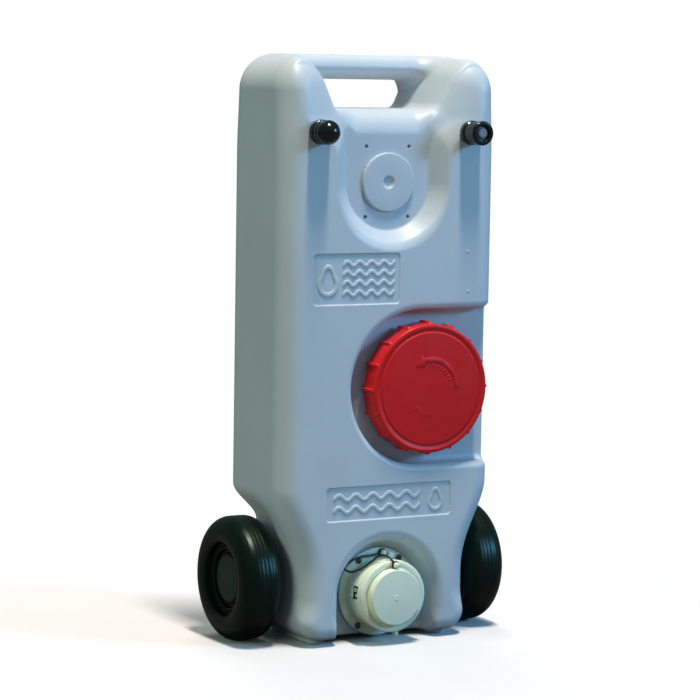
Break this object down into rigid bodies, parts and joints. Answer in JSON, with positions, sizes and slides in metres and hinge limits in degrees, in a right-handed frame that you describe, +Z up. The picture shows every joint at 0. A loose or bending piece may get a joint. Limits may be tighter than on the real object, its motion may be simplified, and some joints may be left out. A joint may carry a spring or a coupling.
{
  "type": "portable waste tank on wheels",
  "caption": "Upright blow-moulded waste-water tank with a hand opening, wheels, a wide screw cap and a capped bayonet drain outlet.",
  "frame": {"origin": "on the floor, under the middle of the whole object's box", "axes": "+Z up; the front with the screw cap and outlet faces -Y; the wheels turn about X; the screw cap is on the +X side"},
  "size_m": [0.37, 0.2068, 0.72],
  "materials": {
    "tank": "satin, blow-moulded",
    "red_cap": "semi-gloss",
    "outlet": "satin",
    "black": "gloss",
    "wheel": "semi-gloss",
    "hub": "satin",
    "rubber": "matte",
    "cord": "satin",
    "ivory": "semi-gloss",
    "grey": "satin",
    "steel": "zinc plated",
    "bush": "satin"
  },
  "bodies": {
    "tank": {"tank_body": "tank", "outlet_flange": "outlet", "flange_gasket": "rubber", "flange_screw_1": "steel", "flange_screw_2": "steel", "flange_screw_3": "steel", "flange_screw_4": "steel", "tether_pin_flange": "ivory", "tether_cord": "cord", "vent_fitting": "black", "vent_gasket": "rubber", "vent_lock_nut": "black", "inlet_fitting": "black", "inlet_gasket": "rubber", "inlet_lock_nut": "black", "axle": "steel", "left_spacer": "bush", "right_spacer": "bush", "left_washer": "steel", "right_washer": "steel", "left_retainer": "steel", "right_retainer": "steel"},
    "fill_cap_lift": {"cap_gasket": "rubber"},
    "fill_cap": {"screw_cap": "red_cap"},
    "drain_cap": {"drain_cap": "outlet", "drain_cap_seal": "rubber", "tether_pin_cap": "ivory"},
    "vent_cap_lift": {"vent_cap_seal": "rubber"},
    "vent_cap": {"vent_cap": "black"},
    "inlet_ring_lift": {"inlet_plug": "grey"},
    "inlet_ring": {"inlet_ring": "black"},
    "left_wheel": {"left_wheel": "wheel", "left_bush": "bush", "left_hub_cap": "hub"},
    "right_wheel": {"right_wheel": "wheel", "right_bush": "bush", "right_hub_cap": "hub"}
  },
  "joints": [
    {"name": "fill_cap_lift", "type": "slide", "parent": "tank", "child": "fill_cap_lift", "axis": [0, -1, 0], "range_m": [0, 0.0091]},
    {"name": "fill_cap_turn", "type": "hinge", "parent": "fill_cap_lift", "child": "fill_cap", "pos_m": [0.051, -0.0614, 0.3135], "axis": [0, -1, 0], "range_deg": [0, 540]},
    {"name": "drain_cap_turn", "type": "hinge", "parent": "tank", "child": "drain_cap", "pos_m": [0, -0.0664, 0.0595], "axis": [0, -1, 0], "range_deg": [0, 60], "deforming": ["tether_cord"]},
    {"name": "vent_cap_lift", "type": "slide", "parent": "tank", "child": "vent_cap_lift", "axis": [0, -1, 0], "range_m": [0, 0.0046]},
    {"name": "vent_cap_turn", "type": "hinge", "parent": "vent_cap_lift", "child": "vent_cap", "pos_m": [-0.105, -0.0864, 0.627], "axis": [0, -1, 0], "range_deg": [0, 1080]},
    {"name": "inlet_ring_lift", "type": "slide", "parent": "tank", "child": "inlet_ring_lift", "axis": [0, -1, 0], "range_m": [0, 0.0046]},
    {"name": "inlet_ring_turn", "type": "hinge", "parent": "inlet_ring_lift", "child": "inlet_ring", "pos_m": [0.105, -0.0864, 0.627], "axis": [0, -1, 0], "range_deg": [0, 1080]},
    {"name": "left_wheel_spin", "type": "hinge", "parent": "tank", "child": "left_wheel", "pos_m": [-0.157, 0.0266, 0.077], "axis": [1, 0, 0], "continuous": true},
    {"name": "right_wheel_spin", "type": "hinge", "parent": "tank", "child": "right_wheel", "pos_m": [0.157, 0.0266, 0.077], "axis": [1, 0, 0], "continuous": true}
  ],
  "couplings": [
    {"joint": "fill_cap_lift", "follows": "fill_cap_turn", "m_per_rad": 0.00095493},
    {"joint": "vent_cap_lift", "follows": "vent_cap_turn", "m_per_rad": 0.00023873},
    {"joint": "inlet_ring_lift", "follows": "inlet_ring_turn", "m_per_rad": 0.00023873}
  ]
}
